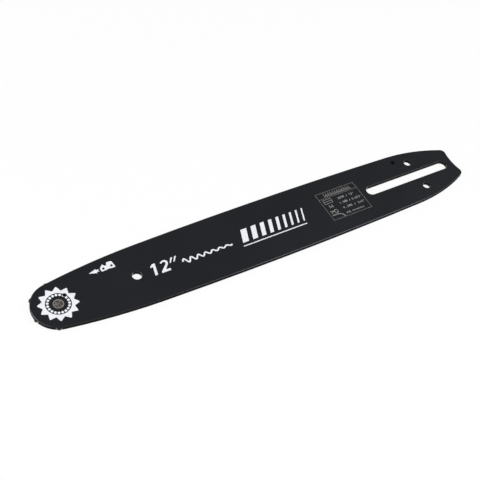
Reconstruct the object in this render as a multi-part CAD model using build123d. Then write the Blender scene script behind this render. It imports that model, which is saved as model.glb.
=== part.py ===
"""Laminated chainsaw guide bar with a sprocket nose, lying flat with its printed side up.

All sizes are in millimetres. While the pieces are made, the nose sprocket's centre is at x = 0, the tail
is towards +X, and the bar rests on z = 0. At the end everything moves so that the bar is centred on x = 0.
"""

import os
from math import acos, atan2, cos, hypot, pi, radians, sin, sqrt

from build123d import *

# Outline: a chain of arcs that meet smoothly, the same on both edges, so that the bar can be turned over
BAR_LENGTH = 325.4  # from the nose sprocket's centre to the middle of the tail end
NOSE_RADIUS = 18.3
NOSE_FLARE_LENGTH = 65.4  # from the nose sprocket's centre to where the belly starts
BELLY_TO_END = 167.4  # from the widest place to the tail end
BELLY_HALF_WIDTH = 25.7
BELLY_RADIUS = 3660.0
TAIL_TAPER_LENGTH = 47.1
TAIL_HALF_WIDTH = 12.4
TAIL_HOLLOW_RADIUS = 42.0
EAR_RADIUS = 4.0

# Lamination: two side plates and a core that leaves the chain groove free along both edges
SIDE_THICKNESS = 1.0
CHAIN_GAUGE = 1.1
GROOVE_DEPTH = 6.0
EDGE_CHAMFER = 0.3
RIM_CHAMFER = 0.1

# Tail: the slot for the two bar studs, the chain adjuster's pin holes and the oil inlet
SLOT_WIDTH = 8.3
SLOT_LENGTH = 74.5
SLOT_TO_END = 5.9
ADJUSTER_TO_END = 33.7
ADJUSTER_SPACING = 25.0
ADJUSTER_DIAMETER = 5.9
OIL_TO_END = 44.6
OIL_INTO_CORE = 0.5  # from the core's edge to the oil inlet's centre
OIL_DIAMETER = 3.7

# Round hole behind the nose, to hang the bar by
HANG_X = 56.1
HANG_DIAMETER = 6.8

# Nose sprocket: round tips and round gullets that meet smoothly
TOOTH_COUNT = 7
TIP_PROUD = 0.95
TIP_ROUND = 2.1
SPROCKET_RIM = 3.8  # from the bore to the foot of the gullets
FIRST_TOOTH_ANGLE = 144.7
TIP_TO_CORE = 1.0

# Bearing: a full ring of rollers between the sprocket's bore and a fixed race, held by one flush rivet
ROLLER_COUNT = 20
ROLLER_CIRCLE_RADIUS = 8.0
ROLLER_SPACING_GAP = 0.1
RUNNING_GAP = 0.05
SIDE_PLAY = 0.05
GREASE_ANGLE = 37.0
GREASE_DIAMETER = 2.1
RIVET_SHANK_DIAMETER = 6.4
RIVET_HEAD_FLARE = 0.45
COUNTERSINK_DEPTH = 0.5
RIVET_GAP = 0.02

# Sizes that follow from the ones above
TOTAL_THICKNESS = 2 * SIDE_THICKNESS + CHAIN_GAUGE
CORE_BOTTOM = SIDE_THICKNESS
TIP_RADIUS = NOSE_RADIUS + TIP_PROUD
ROLLER_RADIUS = ROLLER_CIRCLE_RADIUS * sin(pi / ROLLER_COUNT) - ROLLER_SPACING_GAP / 2
RACE_RADIUS = ROLLER_CIRCLE_RADIUS - ROLLER_RADIUS - RUNNING_GAP
BORE_RADIUS = ROLLER_CIRCLE_RADIUS + ROLLER_RADIUS + RUNNING_GAP
ROOT_RADIUS = BORE_RADIUS + SPROCKET_RIM
TURNING_HEIGHT = CHAIN_GAUGE - 2 * SIDE_PLAY
BELLY_X = BAR_LENGTH - BELLY_TO_END
OIL_X = BAR_LENGTH - OIL_TO_END


def polar(centre, radius, angle):
    """The point at this distance and angle (radians) from a centre."""
    return (centre[0] + radius * cos(angle), centre[1] + radius * sin(angle))


def arc(centre, radius, start, end):
    """The arc round a centre between two angles (radians)."""
    middle = (start + end) / 2
    return ThreePointArc(*(polar(centre, radius, angle) for angle in (start, middle, end)))


def tangent_radius(point, angle, circle_point):
    """Radius of the arc that leaves a point square to the given angle and passes through another point.

    With v from the point to the other one and n the arc's inward normal, the radius is v.v / (2 v.n).
    """
    vx, vy = circle_point[0] - point[0], circle_point[1] - point[1]
    return -(vx * vx + vy * vy) / (2 * (vx * cos(angle) + vy * sin(angle)))


def outline_arcs():
    """Each arc of the upper edge, from the tail to the nose, as centre, radius and end angle.

    The front arc leaves the belly arc and touches the nose circle from outside. With p the point where it
    leaves, n the inward normal there and r the nose radius, its radius is (r^2 - p.p) / (2 (p.n + r)).
    """
    belly = (BELLY_X, BELLY_HALF_WIDTH - BELLY_RADIUS)
    front_angle = acos((NOSE_FLARE_LENGTH - BELLY_X) / BELLY_RADIUS)
    rear_angle = acos((BAR_LENGTH - TAIL_TAPER_LENGTH - BELLY_X) / BELLY_RADIUS)

    px, py = polar(belly, BELLY_RADIUS, front_angle)
    inward = -px * cos(front_angle) - py * sin(front_angle)
    front_radius = (NOSE_RADIUS**2 - px * px - py * py) / (2 * (inward + NOSE_RADIUS))
    front = polar((px, py), -front_radius, front_angle)
    touch_angle = atan2(-front[1], -front[0])

    hollow_rise = TAIL_HOLLOW_RADIUS - sqrt(TAIL_HOLLOW_RADIUS**2 - TAIL_HALF_WIDTH**2)
    ear = (BAR_LENGTH + hollow_rise, TAIL_HALF_WIDTH)
    rear = polar(belly, BELLY_RADIUS, rear_angle)
    tail_radius = tangent_radius(rear, rear_angle, ear)
    tail = polar(rear, -tail_radius, rear_angle)

    return [
        (tail, tail_radius, rear_angle),
        (belly, BELLY_RADIUS, front_angle),
        (front, front_radius, touch_angle),
    ]


def tail_corner(tail, radius):
    """The point where a tail arc of this radius meets the hollow of the tail end."""
    dx, dy = BAR_LENGTH + TAIL_HOLLOW_RADIUS - tail[0], -tail[1]
    gap = hypot(dx, dy)
    along = (radius**2 - TAIL_HOLLOW_RADIUS**2 + gap**2) / (2 * gap)
    across = sqrt(radius**2 - along**2)
    return (tail[0] + (along * dx - across * dy) / gap, tail[1] + (along * dy + across * dx) / gap)


def bar_face(inset):
    """The bar's outline as a face, moved in by inset along both edges but not at the tail end."""
    arcs = outline_arcs()
    tail, tail_radius, _ = arcs[0]
    corner = tail_corner(tail, tail_radius - inset)
    angle = atan2(corner[1] - tail[1], corner[0] - tail[0])
    upper = []
    for centre, radius, end_angle in arcs:
        upper.append(arc(centre, radius - inset, angle, end_angle))
        angle = end_angle
    lower = [mirror(edge, about=Plane.XZ) for edge in upper]
    nose = arc((0, 0), NOSE_RADIUS - inset, angle, 2 * pi - angle)
    hollow = ThreePointArc((corner[0], -corner[1]), (BAR_LENGTH, 0), corner)
    return make_face([*upper, nose, *lower, hollow])


def hole_faces():
    """The slot and round holes that go through all three plates."""
    slot_x = BAR_LENGTH - SLOT_TO_END - SLOT_LENGTH / 2
    slot = Pos(slot_x, 0) * SlotOverall(SLOT_LENGTH, SLOT_WIDTH)
    adjuster_x = BAR_LENGTH - ADJUSTER_TO_END
    places = [Pos(adjuster_x, side * ADJUSTER_SPACING / 2) for side in (-1, 1)]
    adjusters = [place * Circle(ADJUSTER_DIAMETER / 2) for place in places]
    hang = Pos(HANG_X, 0) * Circle(HANG_DIAMETER / 2)
    return slot + adjusters + hang


def oil_place():
    """The oil inlet lies across the groove's floor, with its centre a little inside the core's edge."""
    centre, radius, _ = outline_arcs()[0]
    core_edge = centre[1] + sqrt((radius - GROOVE_DEPTH) ** 2 - (OIL_X - centre[0]) ** 2)
    return Pos(OIL_X, core_edge - OIL_INTO_CORE)


def rivet_profile(gap):
    """Half section of the rivet, or of its hole where gap is more than 0, in the XZ plane."""
    shank = RIVET_SHANK_DIAMETER / 2 + gap
    head = shank + RIVET_HEAD_FLARE
    top = TOTAL_THICKNESS
    return Plane.XZ * make_face(
        Polyline(
            (0, 0),
            (head, 0),
            (shank, COUNTERSINK_DEPTH),
            (shank, top - COUNTERSINK_DEPTH),
            (head, top),
            (0, top),
            close=True,
        )
    )


def side_plate():
    """One side plate with its outer face up and its inner face on z = 0."""
    face = bar_face(0)
    face = fillet(face.vertices().sort_by(Axis.X)[-2:], EAR_RADIUS)
    plate = extrude(face, SIDE_THICKNESS)
    plate = chamfer(plate.faces().sort_by(Axis.Z)[-1].edges(), EDGE_CHAMFER)
    plate -= extrude(hole_faces(), SIDE_THICKNESS)
    rims = plate.faces().sort_by(Axis.Z)[-1].inner_wires().edges()
    plate = chamfer(rims, RIM_CHAMFER)
    plate -= extrude(oil_place() * Circle(OIL_DIAMETER / 2), SIDE_THICKNESS)
    grease = polar((0, 0), ROLLER_CIRCLE_RADIUS, radians(GREASE_ANGLE))
    plate -= extrude(Pos(*grease) * Circle(GREASE_DIAMETER / 2), SIDE_THICKNESS)
    hole = revolve(rivet_profile(RIVET_GAP), Axis.Z)
    return plate - Pos(0, 0, SIDE_THICKNESS - TOTAL_THICKNESS) * hole


def core_plate():
    """The core, cut round at the nose to clear the sprocket, and notched where the oil comes in."""
    face = bar_face(GROOVE_DEPTH) - hole_faces()
    face -= Circle(TIP_RADIUS + TIP_TO_CORE)
    for side in (0, 180):
        face -= Rot(X=side) * oil_place() * Circle(OIL_DIAMETER / 2)
    return Pos(0, 0, CORE_BOTTOM) * extrude(face, CHAIN_GAUGE)


def nose_sprocket():
    """A wheel of tip arcs and gullet arcs.

    A tip circle of radius t has its centre at distance a, and with R the root radius and c the cosine of
    half a tooth pitch, it touches gullets of radius (t^2 - a^2 - R^2 + 2 a R c) / (2 (R - a c - t)).
    """
    half_pitch = pi / TOOTH_COUNT
    tip_centre = TIP_RADIUS - TIP_ROUND
    c = cos(half_pitch)
    gullet = TIP_ROUND**2 - tip_centre**2 - ROOT_RADIUS**2 + 2 * tip_centre * ROOT_RADIUS * c
    gullet /= 2 * (ROOT_RADIUS - tip_centre * c - TIP_ROUND)
    gullet_centre = ROOT_RADIUS + gullet
    share = TIP_ROUND / (TIP_ROUND + gullet)
    tx = tip_centre + share * (gullet_centre * c - tip_centre)
    ty = share * gullet_centre * sin(half_pitch)
    touch_radius, touch_angle = hypot(tx, ty), atan2(ty, tx)
    edges = []
    for tooth in range(TOOTH_COUNT):
        angle = radians(FIRST_TOOTH_ANGLE) + 2 * half_pitch * tooth
        before, after = (polar((0, 0), touch_radius, angle + turn) for turn in (-touch_angle, touch_angle))
        following = polar((0, 0), touch_radius, angle + 2 * half_pitch - touch_angle)
        edges.append(ThreePointArc(before, polar((0, 0), TIP_RADIUS, angle), after))
        edges.append(ThreePointArc(after, polar((0, 0), ROOT_RADIUS, angle + half_pitch), following))
    face = make_face(edges) - Circle(BORE_RADIUS)
    return Pos(0, 0, CORE_BOTTOM + SIDE_PLAY) * extrude(face, TURNING_HEIGHT)


def bearing_race():
    """The fixed ring round the rivet, as thick as the core, so that it spaces the side plates."""
    ring = Circle(RACE_RADIUS) - Circle(RIVET_SHANK_DIAMETER / 2 + RIVET_GAP)
    return Pos(0, 0, CORE_BOTTOM) * extrude(ring, CHAIN_GAUGE)


def roller(number):
    """One roller of the full ring."""
    place = polar((0, 0), ROLLER_CIRCLE_RADIUS, radians(GREASE_ANGLE) + 2 * pi * number / ROLLER_COUNT)
    return Pos(*place, CORE_BOTTOM + SIDE_PLAY) * extrude(Circle(ROLLER_RADIUS), TURNING_HEIGHT)


plate = side_plate()
pieces = {
    "side_plate_upper": Pos(0, 0, CORE_BOTTOM + CHAIN_GAUGE) * plate,
    "side_plate_lower": Pos(0, 0, SIDE_THICKNESS) * Rot(X=180) * plate,
    "core_plate": core_plate(),
    "nose_sprocket": nose_sprocket(),
    "bearing_race": bearing_race(),
    "nose_rivet": revolve(rivet_profile(0), Axis.Z),
}
for number in range(ROLLER_COUNT):
    pieces[f"roller_{number + 1:02d}"] = roller(number)

boxes = [piece.bounding_box() for piece in pieces.values()]
middle_x = (min(box.min.X for box in boxes) + max(box.max.X for box in boxes)) / 2
os.makedirs("parts", exist_ok=True)
for name, piece in pieces.items():
    export_step(Pos(-middle_x, 0, 0) * piece, f"parts/{name}.step")
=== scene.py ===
# %% [markdown]
# # Dressing a chainsaw guide bar
#
# The bar is two steel side plates on a thinner core, with a toothed wheel between the plates at the nose.
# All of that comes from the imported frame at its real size. What is left for Blender is its surface: black
# paint, bare steel at the nose, and white print on the upper face.

# %% Load the frame
from math import cos, pi, radians, sin, tan

import bpy
import numpy as np
from mathutils import Matrix, Vector


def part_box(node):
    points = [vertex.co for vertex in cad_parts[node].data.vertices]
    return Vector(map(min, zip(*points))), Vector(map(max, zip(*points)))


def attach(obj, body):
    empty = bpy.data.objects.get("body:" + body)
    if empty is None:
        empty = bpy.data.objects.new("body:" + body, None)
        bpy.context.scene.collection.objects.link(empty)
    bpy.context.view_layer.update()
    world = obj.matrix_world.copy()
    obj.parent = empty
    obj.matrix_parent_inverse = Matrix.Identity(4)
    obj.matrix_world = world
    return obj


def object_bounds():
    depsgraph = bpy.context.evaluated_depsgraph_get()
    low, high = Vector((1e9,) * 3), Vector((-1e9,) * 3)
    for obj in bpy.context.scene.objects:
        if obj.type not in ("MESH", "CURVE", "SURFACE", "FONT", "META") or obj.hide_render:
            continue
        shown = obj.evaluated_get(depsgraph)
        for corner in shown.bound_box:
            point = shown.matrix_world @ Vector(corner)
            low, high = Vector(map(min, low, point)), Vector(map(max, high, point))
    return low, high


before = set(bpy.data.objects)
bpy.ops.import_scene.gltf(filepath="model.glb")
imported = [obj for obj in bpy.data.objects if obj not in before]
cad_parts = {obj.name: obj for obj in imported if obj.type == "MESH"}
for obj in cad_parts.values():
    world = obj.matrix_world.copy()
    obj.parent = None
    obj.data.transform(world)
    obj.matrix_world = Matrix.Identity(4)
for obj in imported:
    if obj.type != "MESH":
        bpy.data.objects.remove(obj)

cad_box = [list(corner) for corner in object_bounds()]
print("nodes", len(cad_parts), "box", np.round(cad_box, 4).tolist())

# %% [markdown]
# ## One place to measure from
#
# The print on a guide bar is laid out from the nose rivet, so that is the zero point here too: x runs along
# the bar to the tail, y across it, both in millimetres. The rivet's place and the height of the upper face
# are read from the frame, so nothing has to be fitted by eye.

# %% Zero point and upper face
MM = 0.001
rivet_low, rivet_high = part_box("nose_rivet")
NOSE = np.array([rivet_low.x + rivet_high.x, rivet_low.y + rivet_high.y]) / 2
FACE_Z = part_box("side_plate_upper")[1].z
print("nose at", (NOSE / MM).round(2), "mm, face at", round(FACE_Z / MM, 3), "mm")

# %% [markdown]
# ## Colours and nodes
#
# Colours are written as they would be picked in a paint program, as sRGB hex. Cycles counts light, so each
# one is made linear first. One small function adds every node: a socket is given either a value or another
# node's output to link to. Most sockets are called by name. A Mix node has sockets of the same name for
# numbers and for colours, all in one row, so their places in that row get names here.

# %% Helpers for materials
SHARE, NUMBER_A, NUMBER_B, COLOUR_A, COLOUR_B, MIXED_COLOUR = 0, 2, 3, 6, 7, 2


def linear(hex_colour):
    """Linear RGBA of an sRGB hex colour: c / 12.92 up to 0.04045, and ((c + 0.055) / 1.055)^2.4 above."""
    c = np.array([int(hex_colour[i : i + 2], 16) for i in (1, 3, 5)]) / 255
    light = np.where(c <= 0.04045, c / 12.92, ((c + 0.055) / 1.055) ** 2.4)
    return (*light.tolist(), 1.0)


def add(tree, kind, inputs, **settings):
    """Adds a node of this kind, with its settings, and with a value or a link for each named input."""
    new = tree.nodes.new(kind)
    for name, value in settings.items():
        setattr(new, name, value)
    for name, value in inputs.items():
        if isinstance(value, bpy.types.NodeSocket):
            tree.links.new(value, new.inputs[name])
        else:
            new.inputs[name].default_value = value
    return new


def new_material(name):
    """An empty node material, with its tree and its texture coordinates."""
    material = bpy.data.materials.new(name)
    material.use_nodes = True
    tree = material.node_tree
    tree.nodes.clear()
    return material, tree, add(tree, "ShaderNodeTexCoord", {})


def per_metre(size_mm):
    """The Scale of a noise whose features are about this many millimetres across."""
    return 1 / (size_mm * MM)


# %% [markdown]
# ## Black paint on the plates
#
# Guide bars are sprayed or dipped in a thin satin black paint and baked. It has a faint orange peel and a
# slow drift in gloss. As it bakes it draws back from sharp edges, so the chamfers look a little greyer, and
# it flows out smooth there, so they shine more. Their lighter colour is also partly a painted highlight
# along the edges. Walls punched through the plates get the thinnest coat: they are dull, and the steel
# warms them. Their colour is darker than the face's, which is painted shade in the holes and along the
# outer walls. The three kinds of face are told apart by how steeply they stand, which is the same from
# every camera.
#
# The punch also burnishes the walls of the holes. Such a sheen shows at low angles only, so its gloss comes
# from a Layer Weight node. The bar's outer walls have none, so it is kept to where the holes are.

# %% Burnish in the holes
HOLES_BEHIND_NOSE_MM, HOLES_HALF_WIDTH_MM = (25.0, 40.0), (17.0, 15.0)
SHEEN_SLANT = (0.57, 0.66)


def burnish(tree, place):
    """A low angle, times close to the bar's middle line, times far behind the nose: each from 0 to 1.

    The angle is Layer Weight's Facing, which is 1 - |cos| of the angle between the normal and the eye.
    """
    slant = add(tree, "ShaderNodeLayerWeight", {}).outputs["Facing"]
    axes = add(tree, "ShaderNodeSeparateXYZ", {"Vector": place})
    across = add(tree, "ShaderNodeMath", {0: axes.outputs["Y"]}, operation="ABSOLUTE").outputs[0]
    ramps = (
        (slant, *SHEEN_SLANT),
        (across, *(half * MM for half in HOLES_HALF_WIDTH_MM)),
        (axes.outputs["X"], *(NOSE[0] + x * MM for x in HOLES_BEHIND_NOSE_MM)),
    )
    low, inside, behind = (
        add(tree, "ShaderNodeMapRange", {"Value": value, "From Min": start, "From Max": end}).outputs[0]
        for value, start, end in ramps
    )
    holes = add(tree, "ShaderNodeMath", {0: inside, 1: behind}, operation="MULTIPLY").outputs[0]
    return add(tree, "ShaderNodeMath", {0: holes, 1: low}, operation="MULTIPLY").outputs[0]


# %% Satin black paint
# To the eye it is a soft black: a satin glow on the flat faces, a thin line of light along the chamfers,
# partly a painted highlight, and dark dull walls, darkened with painted shade. The grit is drawn coarser
# than it is, because it would be too fine to show.
PAINT_FACE, PAINT_FACE_DRIFT = "#141519", "#16181c"
# The edge colour is partly a painted highlight; the wall colour is warmed by steel and darkened as painted
# shade.
PAINT_THIN_EDGE_HIGHLIGHT, PAINT_WARM_WALL_SHADE = "#1e1f22", "#0d0c0b"
PAINT_IOR, PAINT_SPECULAR = 1.5, 0.42
FACE_ROUGHNESS, EDGE_ROUGHNESS = (0.42, 0.48), 0.24
WALL_ROUGHNESS, BURNISHED_ROUGHNESS = 1.0, 0.1
WALL_TO_EDGE, EDGE_TO_FACE = (0.2, 0.5), (0.8, 0.95)
DRIFT_MM, DRIFT_DETAIL, DRIFT_SPREAD = 45.0, 3.0, (0.3, 0.7)
PEEL_MM, PEEL_DETAIL = 1.3, 1.0
GRIT_MM, GRIT_DETAIL, GRIT_SHARE = 0.35, 2.0, 0.25
RELIEF_MM, RELIEF_STRENGTH = 0.02, 0.12


def satin_black_paint():
    """Paint whose colour and gloss go from wall to chamfer to face as |n.z| of the true normal n rises."""
    material, tree, coordinates = new_material("satin_black_baked_paint_on_steel")
    place = coordinates.outputs["Object"]
    normal = add(tree, "ShaderNodeNewGeometry", {}).outputs["True Normal"]
    height = add(tree, "ShaderNodeSeparateXYZ", {"Vector": normal}).outputs["Z"]
    level = add(tree, "ShaderNodeMath", {0: height}, operation="ABSOLUTE").outputs[0]
    to_edge, to_face = (
        add(tree, "ShaderNodeMapRange", {"Value": level, "From Min": start, "From Max": end}).outputs[0]
        for start, end in (WALL_TO_EDGE, EDGE_TO_FACE)
    )
    noises = ((DRIFT_MM, DRIFT_DETAIL), (GRIT_MM, GRIT_DETAIL), (PEEL_MM, PEEL_DETAIL))
    drift, grit, peel = (
        add(
            tree, "ShaderNodeTexNoise", {"Vector": place, "Scale": per_metre(size), "Detail": detail}
        ).outputs["Fac"]
        for size, detail in noises
    )
    face = add(
        tree,
        "ShaderNodeMix",
        {SHARE: drift, COLOUR_A: linear(PAINT_FACE), COLOUR_B: linear(PAINT_FACE_DRIFT)},
        data_type="RGBA",
    ).outputs[MIXED_COLOUR]
    # Painted shade on the walls and a partly painted highlight on the chamfers, blended by the normal's
    # height.
    edge = add(
        tree,
        "ShaderNodeMix",
        {SHARE: to_edge, COLOUR_A: linear(PAINT_WARM_WALL_SHADE), COLOUR_B: linear(PAINT_THIN_EDGE_HIGHLIGHT)},
        data_type="RGBA",
    ).outputs[MIXED_COLOUR]
    colour = add(
        tree, "ShaderNodeMix", {SHARE: to_face, COLOUR_A: edge, COLOUR_B: face}, data_type="RGBA"
    ).outputs[MIXED_COLOUR]
    satin = add(
        tree,
        "ShaderNodeMapRange",
        {
            "Value": drift,
            "From Min": DRIFT_SPREAD[0],
            "From Max": DRIFT_SPREAD[1],
            "To Min": FACE_ROUGHNESS[0],
            "To Max": FACE_ROUGHNESS[1],
        },
    ).outputs[0]
    wall_gloss = add(
        tree,
        "ShaderNodeMapRange",
        {"Value": burnish(tree, place), "To Min": WALL_ROUGHNESS, "To Max": BURNISHED_ROUGHNESS},
    ).outputs[0]
    edge_gloss = add(
        tree, "ShaderNodeMix", {SHARE: to_edge, NUMBER_A: wall_gloss, NUMBER_B: EDGE_ROUGHNESS}
    ).outputs[0]
    gloss = add(tree, "ShaderNodeMix", {SHARE: to_face, NUMBER_A: edge_gloss, NUMBER_B: satin}).outputs[0]
    relief = add(
        tree, "ShaderNodeMath", {0: grit, 1: GRIT_SHARE, 2: peel}, operation="MULTIPLY_ADD"
    ).outputs[0]
    bump = add(
        tree,
        "ShaderNodeBump",
        {"Strength": RELIEF_STRENGTH, "Distance": RELIEF_MM * MM, "Height": relief},
    )
    paint = add(
        tree,
        "ShaderNodeBsdfPrincipled",
        {
            "Base Color": colour,
            "Roughness": gloss,
            "Specular IOR Level": PAINT_SPECULAR,
            "Normal": bump.outputs[0],
            "IOR": PAINT_IOR,
        },
    )
    add(tree, "ShaderNodeOutputMaterial", {"Surface": paint.outputs[0]})
    return material


black_paint = satin_black_paint()
print(black_paint.name, len(black_paint.node_tree.nodes), "nodes")

# %% [markdown]
# ## Steel at the nose
#
# The wheel's teeth are hardened and oiled, which leaves them brown. The chain rubs their flanks bright, and
# their pale flank colour is also a painted glint. The rivet's head was pressed flat, so it is bare and
# mottled, and its paler rim is partly pressed metal and partly a painted highlight. The rollers and the race
# lie in grease, and their dark colour is also painted shade far down the grease hole. One function makes
# all of these steels from two colours, the size of their mottling and their roughness. Oil and scale cover
# part of the teeth and of the rivet, so these are only partly metallic. Where some of the metal is bright, a
# second function gives its share: by radius for the rim, and for the flanks by how far the normal lies from
# the wheel's axis and from the line out of its middle.

# %% Where steel is bright
RIVET_RIM_MM = (2.7, 3.4)
FLANK_MM, FLANK_TURN = (14.0, 17.0), (0.92, 0.55)


def off_axis(tree, coordinates):
    """The vector from the nose's axis, flat, and its length."""
    place = coordinates.outputs["Object"]
    middle = add(tree, "ShaderNodeVectorMath", {0: place, 1: (*NOSE, 0.0)}, operation="SUBTRACT").outputs[0]
    flat = add(
        tree, "ShaderNodeVectorMath", {0: middle, 1: (1.0, 1.0, 0.0)}, operation="MULTIPLY"
    ).outputs[0]
    length = add(tree, "ShaderNodeVectorMath", {0: flat}, operation="LENGTH").outputs["Value"]
    return flat, length


# The share of the pale rim: pressed metal, and a painted highlight.
def pressed_rim_and_highlight(tree, coordinates):
    """Rises from 0 to 1 between the rim's two radii."""
    _, radius = off_axis(tree, coordinates)
    start, end = (r * MM for r in RIVET_RIM_MM)
    return add(tree, "ShaderNodeMapRange", {"Value": radius, "From Min": start, "From Max": end}).outputs[0]


# The share of pale colour on the flanks: chain wear, and a painted glint.
def rubbed_flanks_and_glints(tree, coordinates):
    """Rises outwards along the teeth, times a rise where the normal n looks along the turn.

    With z the wheel's axis and r the way out of its middle, that is where |n.z| + |n.r| is small.
    """
    flat, radius = off_axis(tree, coordinates)
    normal = coordinates.outputs["Normal"]
    outwards = add(tree, "ShaderNodeVectorMath", {0: flat}, operation="NORMALIZE").outputs[0]
    along = add(
        tree, "ShaderNodeVectorMath", {0: normal, 1: outwards}, operation="DOT_PRODUCT"
    ).outputs["Value"]
    height = add(tree, "ShaderNodeSeparateXYZ", {"Vector": normal}).outputs["Z"]
    radial, upright = (
        add(tree, "ShaderNodeMath", {0: value}, operation="ABSOLUTE").outputs[0] for value in (along, height)
    )
    other = add(tree, "ShaderNodeMath", {0: radial, 1: upright}, operation="ADD").outputs[0]
    ramps = ((other, *FLANK_TURN), (radius, *(r * MM for r in FLANK_MM)))
    flank, outer = (
        add(tree, "ShaderNodeMapRange", {"Value": value, "From Min": start, "From Max": end}).outputs[0]
        for value, start, end in ramps
    )
    return add(tree, "ShaderNodeMath", {0: flank, 1: outer}, operation="MULTIPLY").outputs[0]


# %% Mottled steels
MOTTLE_DETAIL, MOTTLE_SPREAD, MOTTLE_DULLS = 4.0, (0.42, 0.58), 0.1
MOTTLE_RELIEF_MM, MOTTLE_STRENGTH = 0.03, 0.3


def mottled_steel(name, dark, light, mottle_mm, roughness, metallic=1.0, bright=None, polish_and_glint_colour=None):
    """Metal that wanders between two colours and is duller where dark.

    Where there is a bright function, its share goes from that colour to the pale one: polish and a painted
    glint on the flanks, pressed metal and a painted highlight on the rivet's rim.
    """
    material, tree, coordinates = new_material(name)
    blotch = add(
        tree,
        "ShaderNodeTexNoise",
        {
            "Vector": coordinates.outputs["Object"],
            "Scale": per_metre(mottle_mm),
            "Detail": MOTTLE_DETAIL,
        },
    ).outputs["Fac"]
    share = add(
        tree,
        "ShaderNodeMapRange",
        {"Value": blotch, "From Min": MOTTLE_SPREAD[0], "From Max": MOTTLE_SPREAD[1]},
    ).outputs[0]
    colour = add(
        tree,
        "ShaderNodeMix",
        {SHARE: share, COLOUR_A: linear(dark), COLOUR_B: linear(light)},
        data_type="RGBA",
    ).outputs[MIXED_COLOUR]
    if bright:
        colour = add(
            tree,
            "ShaderNodeMix",
            {SHARE: bright(tree, coordinates), COLOUR_A: colour, COLOUR_B: linear(polish_and_glint_colour)},
            data_type="RGBA",
        ).outputs[MIXED_COLOUR]
    gloss = add(
        tree, "ShaderNodeMapRange", {"Value": share, "To Min": roughness + MOTTLE_DULLS, "To Max": roughness}
    ).outputs[0]
    bump = add(
        tree,
        "ShaderNodeBump",
        {"Strength": MOTTLE_STRENGTH, "Distance": MOTTLE_RELIEF_MM * MM, "Height": blotch},
    )
    steel = add(
        tree,
        "ShaderNodeBsdfPrincipled",
        {"Base Color": colour, "Metallic": metallic, "Roughness": gloss, "Normal": bump.outputs[0]},
    )
    add(tree, "ShaderNodeOutputMaterial", {"Surface": steel.outputs[0]})
    print(name, len(tree.nodes), "nodes")
    return material


# Hardened in oil: dark brown, with flanks rubbed bright and a painted glint on each.
tooth_steel = mottled_steel(
    "oil_hardened_brown_steel",
    "#33271f",
    "#5e4c3e",
    mottle_mm=1.1,
    roughness=0.45,
    metallic=0.6,
    bright=rubbed_flanks_and_glints,
    polish_and_glint_colour="#d0ccc6",
)
# Ground and greased: a wet dark gleam, far down the grease hole; its dark colour is partly grease and partly
# painted shade.
bearing_steel = mottled_steel("greased_shaded_bearing_steel", "#2c2620", "#54493d", mottle_mm=0.8, roughness=0.3)
# Pressed flat and left bare: grey with dark blotches, and a paler rim, partly pressed metal and partly a
# painted highlight.
rivet_steel = mottled_steel(
    "pressed_bare_rivet_steel",
    "#312d29",
    "#857f78",
    mottle_mm=1.3,
    roughness=0.5,
    metallic=0.4,
    bright=pressed_rim_and_highlight,
    polish_and_glint_colour="#959088",
)

# %% Finishes onto the frame's nodes
FINISHES = {
    "side_plate": black_paint,
    "core_plate": black_paint,
    "nose_sprocket": tooth_steel,
    "nose_rivet": rivet_steel,
    "bearing_race": bearing_steel,
    "roller": bearing_steel,
}
for name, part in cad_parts.items():
    finish = next(material for start, material in FINISHES.items() if name.startswith(start))
    for slot in part.material_slots:
        slot.material = finish
print("finished nodes", len(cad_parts))

# %% [markdown]
# ## Ink as thin solids
#
# Screen print is a film of ink about two hundredths of a millimetre thick. It could be drawn in the paint's
# material, but then it would have no edge of its own and no mesh. Here each mark is a strip between two
# lines: S(u, v) = (1 - v) left(u) + v right(u), with a top, an underside and sides, so it is a closed
# solid that lies on the paint. Every mark below is made by that one function, from two arrays of points.

# %% A strip of ink between two lines
INK_MM = 0.02


def strip(left, right, closed=False):
    """A flat solid between two lines of equal count, given in mm, left of the way they run and right of it.

    Each station has four corners: left and right on top, right and left below. Quads join each corner to
    the next station's, and an open strip gets a quad across each end.
    """
    left, right = np.asarray(left, float), np.asarray(right, float)
    count = len(left)
    flat = NOSE + MM * np.stack([left, right, right, left], axis=1)
    heights = FACE_Z + MM * np.array([INK_MM, INK_MM, 0, 0])
    points = np.dstack([flat, np.broadcast_to(heights, (count, 4))]).reshape(-1, 3)
    station = np.arange(count if closed else count - 1)[:, None] * 4
    corner = np.arange(4)
    here, there = station + corner, (station + 4) % (4 * count) + corner
    quads = np.stack([here, np.roll(here, -1, 1), np.roll(there, -1, 1), there], axis=-1).reshape(-1, 4)
    if not closed:
        quads = np.vstack([quads, corner[::-1], corner + 4 * (count - 1)])
    return points, quads


def ink(name, strips, material):
    """Makes one object of several strips, which rides on the bar."""
    counts = [len(points) for points, _ in strips]
    starts = np.cumsum([0, *counts[:-1]])
    points = np.vstack([points for points, _ in strips])
    quads = np.vstack([quads + start for (_, quads), start in zip(strips, starts)])
    mesh = bpy.data.meshes.new(name)
    mesh.from_pydata(points.tolist(), [], quads.tolist())
    mesh.materials.append(material)
    piece = bpy.data.objects.new(name, mesh)
    bpy.context.scene.collection.objects.link(piece)
    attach(piece, "bar")
    print(name, len(strips), "strips,", len(quads), "faces")


# %% [markdown]
# ## Lines and arcs to draw with
#
# A pen stroke is the same strip, with its two lines laid half a pen's width to each side of a path. At a
# corner the lines are moved out along the bisector, by 1 / cos of half the turn, so the stroke keeps its
# width round the bend, as a mitred frame does.

# %% Paths and strokes


def arc(centre, radii, start, end, count=24):
    """Points on an ellipse round a centre, from one angle to another in degrees."""
    angle = np.radians(np.linspace(start, end, count))
    return np.asarray(centre) + np.asarray(radii) * np.stack([np.cos(angle), np.sin(angle)], axis=1)


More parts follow.
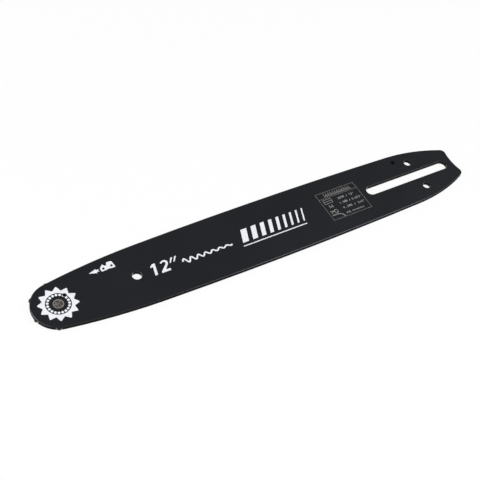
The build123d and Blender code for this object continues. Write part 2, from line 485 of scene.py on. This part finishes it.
def stroke(path, width, closed=False):
    """A strip of even width along a path, mitred at its corners.

    With a and b the unit directions before and after a point, its offset is w/2 (n_a + n_b) / (1 + a.b).
    """
    path = np.asarray(path, float)
    step = np.diff(path, axis=0, append=path[:1] if closed else 2 * path[-1:] - path[-2:-1])
    step /= np.linalg.norm(step, axis=1, keepdims=True)
    before = np.roll(step, 1, axis=0)
    if not closed:
        before[0] = step[0]
    turn = 1 + np.sum(before * step, axis=1, keepdims=True)
    across = (before + step)[:, ::-1] * [-1, 1] / turn
    return strip(path + width / 2 * across, path - width / 2 * across, closed)


def disc(centre, radius, count=20):
    """A round dot, as a strip whose two lines are its upper and lower half."""
    across = np.cos(np.linspace(pi, 0, count)) * radius
    rise = np.sqrt(np.maximum(radius**2 - across**2, 0))
    middle = np.asarray(centre, float)
    return strip(middle + np.stack([across, rise], 1), middle + np.stack([across, -rise], 1))


# %% [markdown]
# ## Inks
#
# White ink on black is never quite opaque: it comes out a cool off-white, a little uneven where the screen
# pressed harder. The small table is printed thinner, in grey.

# %% Printing inks
PRESSURE_MM, PRESSURE_DETAIL = 6.0, 5.0
INK_ROUGHNESS, INK_IOR = 0.5, 1.48


def printing_ink(name, thin, full):
    """Ink that wanders between a thinner and a fuller coat."""
    material, tree, coordinates = new_material(name)
    press = add(
        tree,
        "ShaderNodeTexNoise",
        {
            "Vector": coordinates.outputs["Object"],
            "Scale": per_metre(PRESSURE_MM),
            "Detail": PRESSURE_DETAIL,
        },
    ).outputs["Fac"]
    coat = add(
        tree,
        "ShaderNodeMix",
        {SHARE: press, COLOUR_A: linear(thin), COLOUR_B: linear(full)},
        data_type="RGBA",
    ).outputs[MIXED_COLOUR]
    film = add(
        tree,
        "ShaderNodeBsdfPrincipled",
        {"Base Color": coat, "Roughness": INK_ROUGHNESS, "IOR": INK_IOR},
    )
    add(tree, "ShaderNodeOutputMaterial", {"Surface": film.outputs[0]})
    print(name, len(tree.nodes), "nodes")
    return material


# A full coat: a flat cool white that stands out from the black.
white_ink = printing_ink("screen_printed_white_ink", "#e0e2e6", "#eff1f4")
# A thin coat: the black shows through, so it stays a quiet grey.
grey_ink = printing_ink("thin_screen_printed_grey_ink", "#80807d", "#969692")

# %% [markdown]
# ## The star round the rivet
#
# The print shows the wheel that turns inside: a ring with pointed teeth, and a circle of dots for the
# rollers. The grease hole comes through the plate on that circle. The ring's inner line steps back round
# it, and it bites into the two dots beside it. What is left of such a dot lies between two arcs. With d the
# distance of the middles, R the hole's radius and r the dot's, the arcs meet at a = (d^2 + R^2 - r^2) / 2d
# from the hole's middle and h = sqrt(R^2 - a^2) to each side.

# %% Star and dots
TEETH, TOOTH_TURN = 12, 13.8
TIP_R, TIP_BLUNT, VALLEY_R, RING_R = 13.5, 0.3, 10.6, 8.55
DOTS, DOT_TURN, DOT_CIRCLE_R, DOT_R = 19, 3.0, 7.1, 0.9
GREASE_ANGLE, GREASE_CIRCLE_R, GREASE_CLEAR_R = 37.0, 8.0, 1.42
EDGE_POINTS = 8


def star_ring():
    """A strip from the inner line out to the toothed line, once round.

    The toothed line is straight from each valley to the next blunt tip. Along a ray at angle d from a round
    hole of radius h whose centre is at distance c, the hole ends at c cos d + sqrt(h^2 - c^2 sin^2 d).
    """
    pitch = 360 / TEETH
    blunt = np.degrees(TIP_BLUNT / TIP_R)
    turns = TOOTH_TURN + pitch * np.arange(TEETH)[:, None] + np.array([-pitch / 2, -blunt, blunt])
    radii = np.tile([VALLEY_R, TIP_R, TIP_R], (TEETH, 1))
    angle = np.radians(turns.ravel())
    corners = radii.reshape(-1, 1) * np.stack([np.cos(angle), np.sin(angle)], axis=1)
    share = np.linspace(0, 1, EDGE_POINTS, endpoint=False)[:, None]
    outer = (corners[:, None] * (1 - share) + np.roll(corners, -1, 0)[:, None] * share).reshape(-1, 2)
    angle = np.arctan2(outer[:, 1], outer[:, 0])
    away = angle - np.radians(GREASE_ANGLE)
    reach = GREASE_CLEAR_R**2 - (GREASE_CIRCLE_R * np.sin(away)) ** 2
    hole_end = GREASE_CIRCLE_R * np.cos(away) + np.sqrt(np.maximum(reach, 0))
    inner_r = np.where((reach > 0) & (np.cos(away) > 0), np.maximum(hole_end, RING_R), RING_R)
    inner = inner_r[:, None] * np.stack([np.cos(angle), np.sin(angle)], axis=1)
    return strip(inner, outer, closed=True)


def roller_dot(middle, hole):
    """A disc, or what the hole leaves of it, from one meeting point of the two arcs to the other."""
    apart = middle - hole
    d = np.linalg.norm(apart)
    if d > GREASE_CLEAR_R + DOT_R:
        return disc(middle, DOT_R)
    a = (d**2 + GREASE_CLEAR_R**2 - DOT_R**2) / (2 * d)
    h = np.sqrt(GREASE_CLEAR_R**2 - a**2)
    turn = np.degrees(np.arctan2(apart[1], apart[0]))
    on_dot, on_hole = np.degrees(np.arctan2(h, a - d)), np.degrees(np.arctan2(h, a))
    return strip(
        arc(middle, (DOT_R, DOT_R), turn + on_dot, turn - on_dot),
        arc(hole, (GREASE_CLEAR_R, GREASE_CLEAR_R), turn + on_hole, turn - on_hole),
    )


dot_angles = np.radians(DOT_TURN + 360 / DOTS * np.arange(DOTS))
dot_middles = DOT_CIRCLE_R * np.stack([np.cos(dot_angles), np.sin(dot_angles)], axis=1)
grease = GREASE_CIRCLE_R * np.array([cos(radians(GREASE_ANGLE)), sin(radians(GREASE_ANGLE))])
dots = [roller_dot(middle, grease) for middle in dot_middles]
ink("print_star", [star_ring()] + dots, white_ink)

# %% [markdown]
# ## Which way the chain runs
#
# An arrow and the outline of a cutter tell the user which way the chain goes on. The cutter is two strips:
# one from its upper edge down to a line through its two rivet holes, one from that line to its lower edge.
# Where a hole lies, both strips stop short of the line by sqrt(r^2 - (x - c)^2).

# %% Arrow and cutter
ARROW_TIP, ARROW_HEAD_X, ARROW_END_X = (27.9, 14.1), 33.2, 35.1
ARROW_TIP_HALF, ARROW_HEAD_HALF, ARROW_SHAFT_HALF, ARROW_NOTCH = 0.05, 1.8, 0.9, 0.6
CUTTER_TOP = (
    (36.2, 15.0), (38.2, 17.2), (38.9, 17.4), (39.4, 17.0), (40.0, 15.95), (41.3, 15.95),
    (41.9, 17.8), (42.4, 18.2), (45.3, 18.0), (45.8, 17.4), (46.4, 13.1),
)
CUTTER_BOTTOM = (
    (36.2, 12.6), (36.6, 12.2), (39.5, 12.3), (41.5, 12.6), (44.0, 12.3), (46.0, 12.3), (46.4, 12.7),
)
CUTTER_HOLES, CUTTER_HOLE_R = ((38.3, 14.1), (44.3, 14.45)), 0.85
CUTTER_POINTS = 80


def arrow():
    """Head, then shaft, then two tails, as half heights above and below the arrow's own line."""
    x = np.array([ARROW_TIP[0], ARROW_HEAD_X, ARROW_HEAD_X, ARROW_END_X - ARROW_NOTCH, ARROW_END_X])
    outer = np.array([ARROW_TIP_HALF, ARROW_HEAD_HALF] + 3 * [ARROW_SHAFT_HALF])
    inner = np.array([0, 0, 0, 0, ARROW_NOTCH])
    middle = ARROW_TIP[1]
    over = strip(np.stack([x, middle + outer], 1), np.stack([x, middle + inner], 1))
    under = strip(np.stack([x, middle - inner], 1), np.stack([x, middle - outer], 1))
    return [over, under]


def cutter():
    """The two strips above and below the line through the holes."""
    top, bottom, holes = np.array(CUTTER_TOP), np.array(CUTTER_BOTTOM), np.array(CUTTER_HOLES)
    x = np.union1d(np.linspace(top[0, 0], top[-1, 0], CUTTER_POINTS), top[:, 0])
    gap = np.sqrt(np.maximum(CUTTER_HOLE_R**2 - (x - holes[:, :1]) ** 2, 0)).sum(axis=0)
    upper = np.interp(x, top[:, 0], top[:, 1])
    lower = np.interp(x, bottom[:, 0], bottom[:, 1])
    line = np.interp(x, holes[:, 0], holes[:, 1])
    over = strip(np.stack([x, upper], 1), np.stack([x, line + gap], 1))
    under = strip(np.stack([x, line - gap], 1), np.stack([x, lower], 1))
    return [over, under]


ink("print_chain_direction", arrow() + cutter(), white_ink)

# %% [markdown]
# ## The bar's length
#
# The large figure is the bar's nominal length in inches. It is a bold slanted figure, so a plain pen
# stroke won't do: each numeral is a strip between its outer and its inner outline, drawn upright on its
# baseline and then leaned over by x + y tan(slant). The inch sign leans more.

# %% Bold numerals
FIGURE_FOOT, FIGURE_SLANT, INCH_FOOT, INCH_SLANT = -5.25, 13.5, 0.25, 34.0
ONE_X, TWO_X, INCH_MARKS_X = 67.15, 72.35, (80.75, 83.6)


def lean(points, place, slant):
    """Moves points onto a place, leaning them to the right by this angle in degrees."""
    points = np.asarray(points, float)
    return np.asarray(place) + points + points[:, 1:] * [tan(radians(slant)), 0]


def bold_one():
    """The stem, with a flag that widens it to the left near the top."""
    left = [(0, 0), (0, 7.1), (-1.75, 7.0), (-1.9, 7.9), (-0.7, 9.0), (-0.2, 9.55)]
    right = [(1.95, 0), (1.85, 7.1), (1.85, 7.6), (1.85, 8.2), (1.8, 9.0), (1.8, 9.55)]
    return left, right


def bold_two():
    """The bowl between two ellipses, then the diagonal and the foot."""
    outer = [*arc((2.8, 6.65), (3.05, 2.9), 152, -35), (3.25, 1.95), (3.35, 1.85), (6.6, 1.65)]
    inner = [*arc((2.6, 6.75), (1.65, 1.45), 152, -35), (0, 1.25), (0, 0), (6.55, 0)]
    return outer, inner


def inch_mark():
    """One tapered stroke of the inch sign."""
    return [(-0.1, 0), (-0.3, 3.95)], [(0.85, 0), (1.2, 3.95)]


bold = [
    (bold_one(), (ONE_X, FIGURE_FOOT), FIGURE_SLANT),
    (bold_two(), (TWO_X, FIGURE_FOOT), FIGURE_SLANT),
    *((inch_mark(), (x, INCH_FOOT), INCH_SLANT) for x in INCH_MARKS_X),
]
numerals = [strip(*(lean(line, place, slant) for line in pair)) for pair, place, slant in bold]
ink("print_bar_length", numerals, white_ink)

# %% [markdown]
# ## Plain marks in the middle of the bar
#
# A swing that dies away stands for smooth running: y = a exp(-x / d) sin(2 pi x / w). Next to it is a
# group of slanted bars that get narrower towards the tail, with a thin line under them.

# %% Wave and bars
WAVE_START, WAVE_LENGTH, WAVE_SWING, WAVE_PEN = (89.5, -2.4), 38.5, 2.1, 1.15
WAVE_DECAY, WAVE_PERIOD, WAVE_POINTS = 30.0, 5.5, 200
BARS_LEFT, BARS_RIGHT, BARS_FOOT, BARS_TOP, BARS_SLANT = 135.5, 187.0, -4.8, 6.2, 20.0
BAR_COUNT, BAR_SHRINK, BAR_GAP = 9, 0.84, 3.5
RULE_OVERHANG, RULE_Y, RULE_PEN = 1.0, -7.6, 0.8


def dying_wave():
    """The swing as a pen stroke."""
    x = np.linspace(0, WAVE_LENGTH, WAVE_POINTS)
    y = WAVE_SWING * np.exp(-x / WAVE_DECAY) * np.sin(2 * pi * x / WAVE_PERIOD)
    return stroke(np.asarray(WAVE_START) + np.stack([x, y], 1), WAVE_PEN)


def slanted_bars():
    """Bars whose widths shrink by a constant factor and fill the group with equal gaps."""
    shares = BAR_SHRINK ** np.arange(BAR_COUNT)
    widths = shares / shares.sum() * (BARS_RIGHT - BARS_LEFT - BAR_GAP * (BAR_COUNT - 1))
    starts = BARS_LEFT + np.cumsum([0, *(widths[:-1] + BAR_GAP)])
    upright = np.array([(0, 0), (0, BARS_TOP - BARS_FOOT)])
    return [
        strip(
            lean(upright, (start, BARS_FOOT), BARS_SLANT),
            lean(upright, (start + width, BARS_FOOT), BARS_SLANT),
        )
        for start, width in zip(starts, widths)
    ]


rule = stroke([(BARS_LEFT - RULE_OVERHANG, RULE_Y), (BARS_RIGHT, RULE_Y)], RULE_PEN)
ink("print_wave", [dying_wave()], white_ink)
ink("print_bars", slanted_bars() + [rule], white_ink)

# %% [markdown]
# ## The small table of sizes
#
# A box in thin grey lines gives the sizes that a buyer needs: the bar's length, the gauge of the chain, its
# pitch and its number of drive links. The figures are under two millimetres high, so a pen stroke along a
# few lines and arcs, in a cell one wide and two high, draws each of them well enough. A pen that goes round
# stops a little before the place where it began.

# %% Figures in pen strokes
ROUND = (0, 345)
FIGURES = {
    "0": [arc((0.5, 1), (0.45, 0.95), *ROUND)],
    "1": [[(0.15, 1.55), (0.55, 1.95), (0.55, 0)]],
    "2": [[*arc((0.5, 1.45), (0.42, 0.5), 170, -30, 12), (0.08, 0.05), (0.95, 0.05)]],
    "3": [arc((0.45, 1.45), (0.42, 0.48), 150, -90, 12), arc((0.45, 0.5), (0.48, 0.47), 90, -150, 12)],
    "4": [[(0.95, 0.55), (0.05, 0.55), (0.7, 1.95), (0.7, 0)]],
    "5": [[(0.9, 1.95), (0.2, 1.95), (0.12, 1.1), *arc((0.45, 0.6), (0.48, 0.57), 100, -150, 12)]],
    "8": [arc((0.5, 1.47), (0.38, 0.46), *ROUND), arc((0.5, 0.52), (0.46, 0.5), *ROUND)],
    "9": [arc((0.5, 1.4), (0.43, 0.55), *ROUND), arc((0.1, 1.4), (0.83, 1.4), 0, -75, 8)],
    ".": [[(0.35, 0.1), (0.6, 0.1)]],
    "/": [[(0.1, -0.1), (0.9, 2.0)]],
    '"': [[(0.25, 1.4), (0.3, 2.0)], [(0.65, 1.4), (0.7, 2.0)]],
    "c": [arc((0.55, 1), (0.45, 0.95), 45, 315)],
    "m": [[(0.05, 0), (0.12, 1.95), (0.5, 0.8), (0.88, 1.95), (0.95, 0)]],
    " ": [],
}
FIGURE_SHARE, FIGURE_RISE, FIGURE_PEN = 0.74, 0.78, 0.4
# Each row is its text, where it starts and ends, and its baseline.
ROWS = (
    ('30cm / 12"', 220.6, 235.2, 2.6),
    ('1.1mm / 0.043"', 219.5, 238.7, -2.05),
    ('9.3mm / 3/8"', 219.7, 238.9, -6.75),
    ("45", 219.2, 223.3, -11.65),
)


def written(text, left, right, foot):
    """The pen strokes of a row of figures, spread evenly between two places."""
    advance = (right - left) / len(text)
    strokes = []
    for place, sign in enumerate(text):
        for path in FIGURES[sign]:
            cell = np.asarray(path) * [FIGURE_SHARE * advance, FIGURE_RISE]
            strokes.append(stroke((left + advance * place, foot) + cell, FIGURE_PEN))
    return strokes


figures = [pen for row in ROWS for pen in written(*row)]
print("table figures", len(figures), "strokes")

# %% Box and scale of the table
TABLE_LEFT, TABLE_RIGHT, TABLE_TOP, TABLE_HEAD, TABLE_FOOT = 206.6, 240.0, 12.4, 7.0, -13.5
TABLE_PEN = 0.2
TICK_LEFT, TICK_COUNT, TICK_SPACING = 212.7, 24, 0.98
TICK_FOOT, TICK_HEIGHTS, TICK_PEN = 7.9, (3.2, 1.6), 0.4


def box(left, right, top, foot, pen):
    """A closed rectangle of pen lines, run anticlockwise."""
    return stroke([(left, foot), (right, foot), (right, top), (left, top)], pen, closed=True)


def tick_scale():
    """A plain scale in the head of the table, with every other tick short."""
    ticks = []
    for number in range(TICK_COUNT):
        x = TICK_LEFT + TICK_SPACING * number
        ticks.append(stroke([(x, TICK_FOOT), (x, TICK_FOOT + TICK_HEIGHTS[number % 2])], TICK_PEN))
    return ticks


frame_lines = [
    box(TABLE_LEFT, TABLE_RIGHT, TABLE_TOP, TABLE_FOOT, TABLE_PEN),
    stroke([(TABLE_LEFT, TABLE_HEAD), (TABLE_RIGHT, TABLE_HEAD)], TABLE_PEN),
]
print("table lines", len(frame_lines), "and ticks", TICK_COUNT)

# %% [markdown]
# Each row starts with a small sign: the bar between its two ends, a link's foot between two rails, a rivet
# with a measuring line, and a stretch of chain going round a bend. The last row counts links, so a short
# row of them follows its number.

# %% Signs of the bar, the gauge and the pitch
SIGN_PEN = 0.38
RAIL_PEN, FOOT_PEN, RING_PEN, STRAP_PEN = 1.3 * SIGN_PEN, 2.0 * SIGN_PEN, 1.5 * SIGN_PEN, 2.5 * SIGN_PEN
RING_SHARE = 0.4
# Each sign is its left end, its foot, its width and its height.
BAR_SIGN, GAUGE_SIGN, LINK_SIGN = (208.9, 1.9, 6.7, 3.8), (210.8, -2.7, 2.4, 3.0), (208.9, -8.3, 5.5, 3.6)


def bar_sign(left, foot, width, height):
    """The bar between two ends, with a line along its middle."""
    middle = foot + height / 2
    line = stroke([(left, middle), (left + width, middle)], SIGN_PEN)
    return [box(left, left + width, foot + height, foot, SIGN_PEN), line]


def gauge_sign(left, foot, width, height):
    """Two rails on edge, with a link's foot between them, a third of the way up."""
    rails = [stroke([(x, foot), (x, foot + height)], RAIL_PEN) for x in (left, left + width)]
    low = foot + height / 3
    return rails + [stroke([(left, low), (left + width, low)], FOOT_PEN)]


def link_sign(left, foot, width, height):
    """A measuring line, and a strap from it to a rivet's ring, a third of the radius above the middle."""
    radius, middle = RING_SHARE * height, foot + height / 2
    ring_left, strap_y = left + width - 2 * radius, middle + radius / 3
    ring = stroke(arc((ring_left + radius, middle), (radius, radius), *ROUND), RING_PEN)
    end = stroke([(left, foot), (left, foot + height)], SIGN_PEN)
    strap = stroke([(left, strap_y), (ring_left, strap_y)], STRAP_PEN)
    return [ring, end, strap]


signs = bar_sign(*BAR_SIGN) + gauge_sign(*GAUGE_SIGN) + link_sign(*LINK_SIGN)
print("signs", len(signs), "strokes")

# %% Signs of the links, and the whole table
BEND_START, BEND_CENTRE, BEND_RADII, BEND_LINKS = (208.3, -9.2), (212.7, -13.5), (4.1, 4.1), 6
BEND_PEN, BEND_LINK_SHARE, BEND_LINK_POINTS = 2.3 * SIGN_PEN, 0.8, 5
ROW_LEFT, ROW_RIGHT, ROW_Y, ROW_LINKS = 224.3, 235.2, -10.9, 4
ROW_GAP, ROW_LINK_SHARE, ROW_DOT_R, ROW_DOT_POINTS = 0.5, 0.62, 0.55, 12


def bend_sign():
    """A chain that runs straight and then round a quarter turn, cut into links of equal length."""
    path = np.vstack([BEND_START, arc(BEND_CENTRE, BEND_RADII, 90, 0)])
    along = np.cumsum([0, *np.linalg.norm(np.diff(path, axis=0), axis=1)])
    pitch = along[-1] / BEND_LINKS
    link = np.linspace(0, BEND_LINK_SHARE, BEND_LINK_POINTS)
    places = pitch * (np.arange(BEND_LINKS)[:, None] + link)
    x, y = (np.interp(places, along, values) for values in path.T)
    return [stroke(points, BEND_PEN) for points in np.dstack([x, y])]


def link_row():
    """Short straps in a row, each with a dot at its two ends."""
    pitch = (ROW_RIGHT - ROW_LEFT) / ROW_LINKS
    starts = ROW_LEFT + pitch * np.arange(ROW_LINKS)
    ends = [(start + ROW_GAP, start + ROW_LINK_SHARE * pitch) for start in starts]
    straps = [stroke([(first, ROW_Y), (last, ROW_Y)], SIGN_PEN) for first, last in ends]
    return straps + [disc((x, ROW_Y), ROW_DOT_R, ROW_DOT_POINTS) for pair in ends for x in pair]


signs += bend_sign() + link_row()
ink("print_size_table", frame_lines + tick_scale() + figures + signs, grey_ink)

# %% [markdown]
# ## Floor
#
# The photograph was taken on white. A pale floor gives that, with a soft shadow left under the bar. For
# the camera and for reflections it also glows, so it comes out white at a plain level of light. Far out its
# rim curves up, as paper does in a studio, so that a low camera sees paper and not the dim room behind it.
# The rim is low, because the chamfers must not mirror it.

# %% White paper
# Pressed paper: an even white with a trace of fibre.
PAPER_TONES, FIBRE_MM = ("#f1f1f1", "#f5f5f5"), 3.0
FLOOR_GLOW = 0.9


def white_paper():
    """Plain white paper, mixed with a glow that only the camera, reflections and clear things see."""
    material, tree, coordinates = new_material("white_paper_floor")
    fibre = add(
        tree, "ShaderNodeTexNoise", {"Vector": coordinates.outputs["Object"], "Scale": per_metre(FIBRE_MM)}
    ).outputs["Fac"]
    tone = add(
        tree,
        "ShaderNodeMix",
        {SHARE: fibre, COLOUR_A: linear(PAPER_TONES[0]), COLOUR_B: linear(PAPER_TONES[1])},
        data_type="RGBA",
    ).outputs[MIXED_COLOUR]
    paper = add(tree, "ShaderNodeBsdfDiffuse", {"Color": tone})
    glow = add(tree, "ShaderNodeEmission", {"Color": (1, 1, 1, 1), "Strength": 1.0})
    rays = add(tree, "ShaderNodeLightPath", {})
    seen = rays.outputs["Is Camera Ray"]
    for kind in ("Is Glossy Ray", "Is Transmission Ray"):
        seen = add(tree, "ShaderNodeMath", {0: seen, 1: rays.outputs[kind]}, operation="MAXIMUM").outputs[0]
    share = add(tree, "ShaderNodeMath", {0: seen, 1: FLOOR_GLOW}, operation="MULTIPLY").outputs[0]
    mix = add(tree, "ShaderNodeMixShader", {0: share, 1: paper.outputs[0], 2: glow.outputs[0]})
    add(tree, "ShaderNodeOutputMaterial", {"Surface": mix.outputs[0]})
    print(material.name, len(tree.nodes), "nodes")
    return material


# %% Floor with a raised rim
FLOOR_RADIUS, RIM_RADIUS = 9.0, 1.0
FLOOR_STEPS, RIM_STEPS = 96, 12


def coved_floor(material):
    """A flat disc whose rim curves up.

    With a from 0 to 90 degrees, the rim lies F + R sin a out and R (1 - cos a) up, carried once round.
    """
    turn = np.linspace(0, 2 * pi, FLOOR_STEPS, endpoint=False)
    rise = np.linspace(0, pi / 2, RIM_STEPS)[:, None]
    out, up = FLOOR_RADIUS + RIM_RADIUS * np.sin(rise), cad_box[0][2] + RIM_RADIUS * (1 - np.cos(rise))
    rings = np.dstack(np.broadcast_arrays(out * np.cos(turn), out * np.sin(turn), up))
    here = np.arange(FLOOR_STEPS) + FLOOR_STEPS * np.arange(RIM_STEPS - 1)[:, None]
    there = np.roll(here, -1, axis=1)
    quads = np.stack([here, here + FLOOR_STEPS, there + FLOOR_STEPS, there], axis=-1).reshape(-1, 4)
    mesh = bpy.data.meshes.new("floor")
    mesh.from_pydata(rings.reshape(-1, 3).tolist(), [], [list(range(FLOOR_STEPS)), *quads.tolist()])
    mesh.materials.append(material)
    floor = bpy.data.objects.new("floor", mesh)
    bpy.context.scene.collection.objects.link(floor)
    print("floor", len(mesh.polygons), "faces, rim", RIM_RADIUS, "m high")
    return floor


coved_floor(white_paper())

# %% [markdown]
# ## Light
#
# Black satin paint shows what it mirrors more than its own colour. The upper face mirrors the space behind
# the bar, so that is left dim, and every lamp stands in front or past an end. The chamfer is the mirror that
# counts: at each place along the edge it looks one way into the studio. The soft box and the card past the
# nose light it round the tip. A small strip, seen only by the straight edge behind the middle, draws the
# thin line there, and a weak card carries it on round the tail. These two are a little blue, as daylight
# is. Two large soft boxes, one high in front and one high past the tail, fill.

# %% Soft boxes
WORLD_LEVEL = 0.15
PLAIN, DAYLIGHT = "#ffffff", "#e8ebff"
# Each lamp is its place in metres, its side in metres, its power in watts and its colour. An area lamp
# shines along its own -Z, so its Z is turned straight away from the bar.
SOFT_BOXES = {
    "nose_soft_box": ((-1.23, 0.48, 0.45), 0.7, 10.5, PLAIN),
    "nose_card": ((-1.08, -0.27, 0.86), 0.8, 4.2, PLAIN),
    "high_soft_box": ((-0.25, -0.7, 1.3), 1.2, 9.5, PLAIN),
    "tail_soft_box": ((1.1, -0.45, 1.0), 1.0, 10.3, PLAIN),
    "tail_strip": ((0.74, -1.066, 0.63), 0.58, 4.8, DAYLIGHT),
    "tail_card": ((1.23, -0.77, 0.42), 0.9, 1.6, DAYLIGHT),
}
for name, (place, size, power, tint) in SOFT_BOXES.items():
    light = bpy.data.lights.new(name, "AREA")
    light.size, light.energy, light.color = size, power, linear(tint)[:3]
    lamp = bpy.data.objects.new(name, light)
    lamp.location = place
    lamp.rotation_euler = Vector(place).to_track_quat("Z", "Y").to_euler()
    bpy.context.scene.collection.objects.link(lamp)

world = bpy.data.worlds.new("studio")
world.use_nodes = True
world.node_tree.nodes["Background"].inputs["Color"].default_value = (1, 1, 1, 1)
world.node_tree.nodes["Background"].inputs["Strength"].default_value = WORLD_LEVEL
bpy.context.scene.world = world
print("lamps", len(SOFT_BOXES), "world", WORLD_LEVEL)

# %% [markdown]
# ## Camera
#
# The photograph's camera was found by fitting a pinhole to the bar's outline and holes: which way it looks,
# how far away it stands and how long its lens is. The picture is 480 pixels wide, so a focal length in
# pixels times the sensor's width over 480 is the lens.

# %% Camera
AZIMUTH, ELEVATION, ROLL = radians(-39.33), radians(49.454), radians(-11.91)
AIM, DISTANCE = Vector((-17.56 * MM, 0.43 * MM, 0.0)), 726.9 * MM
FOCAL_PIXELS, PICTURE_PIXELS, SENSOR_MM = 1044.3, 480, 36.0

back = Vector((sin(AZIMUTH) * cos(ELEVATION), -cos(AZIMUTH) * cos(ELEVATION), sin(ELEVATION)))
level = Vector((cos(AZIMUTH), sin(AZIMUTH), 0.0))
right = Matrix.Rotation(ROLL, 3, -back) @ level
up = back.cross(right)
camera_data = bpy.data.cameras.new("photo_camera")
camera_data.sensor_width = SENSOR_MM
camera_data.lens = FOCAL_PIXELS / PICTURE_PIXELS * SENSOR_MM
camera = bpy.data.objects.new("photo_camera", camera_data)
turned = Matrix((right, up, back)).transposed().to_4x4()
camera.matrix_world = Matrix.Translation(AIM + back * DISTANCE) @ turned
bpy.context.scene.collection.objects.link(camera)
bpy.context.scene.camera = camera
bpy.context.scene.view_settings.view_transform = "Standard"
print("lens", round(camera_data.lens, 1), "mm at", round(DISTANCE, 3), "m")
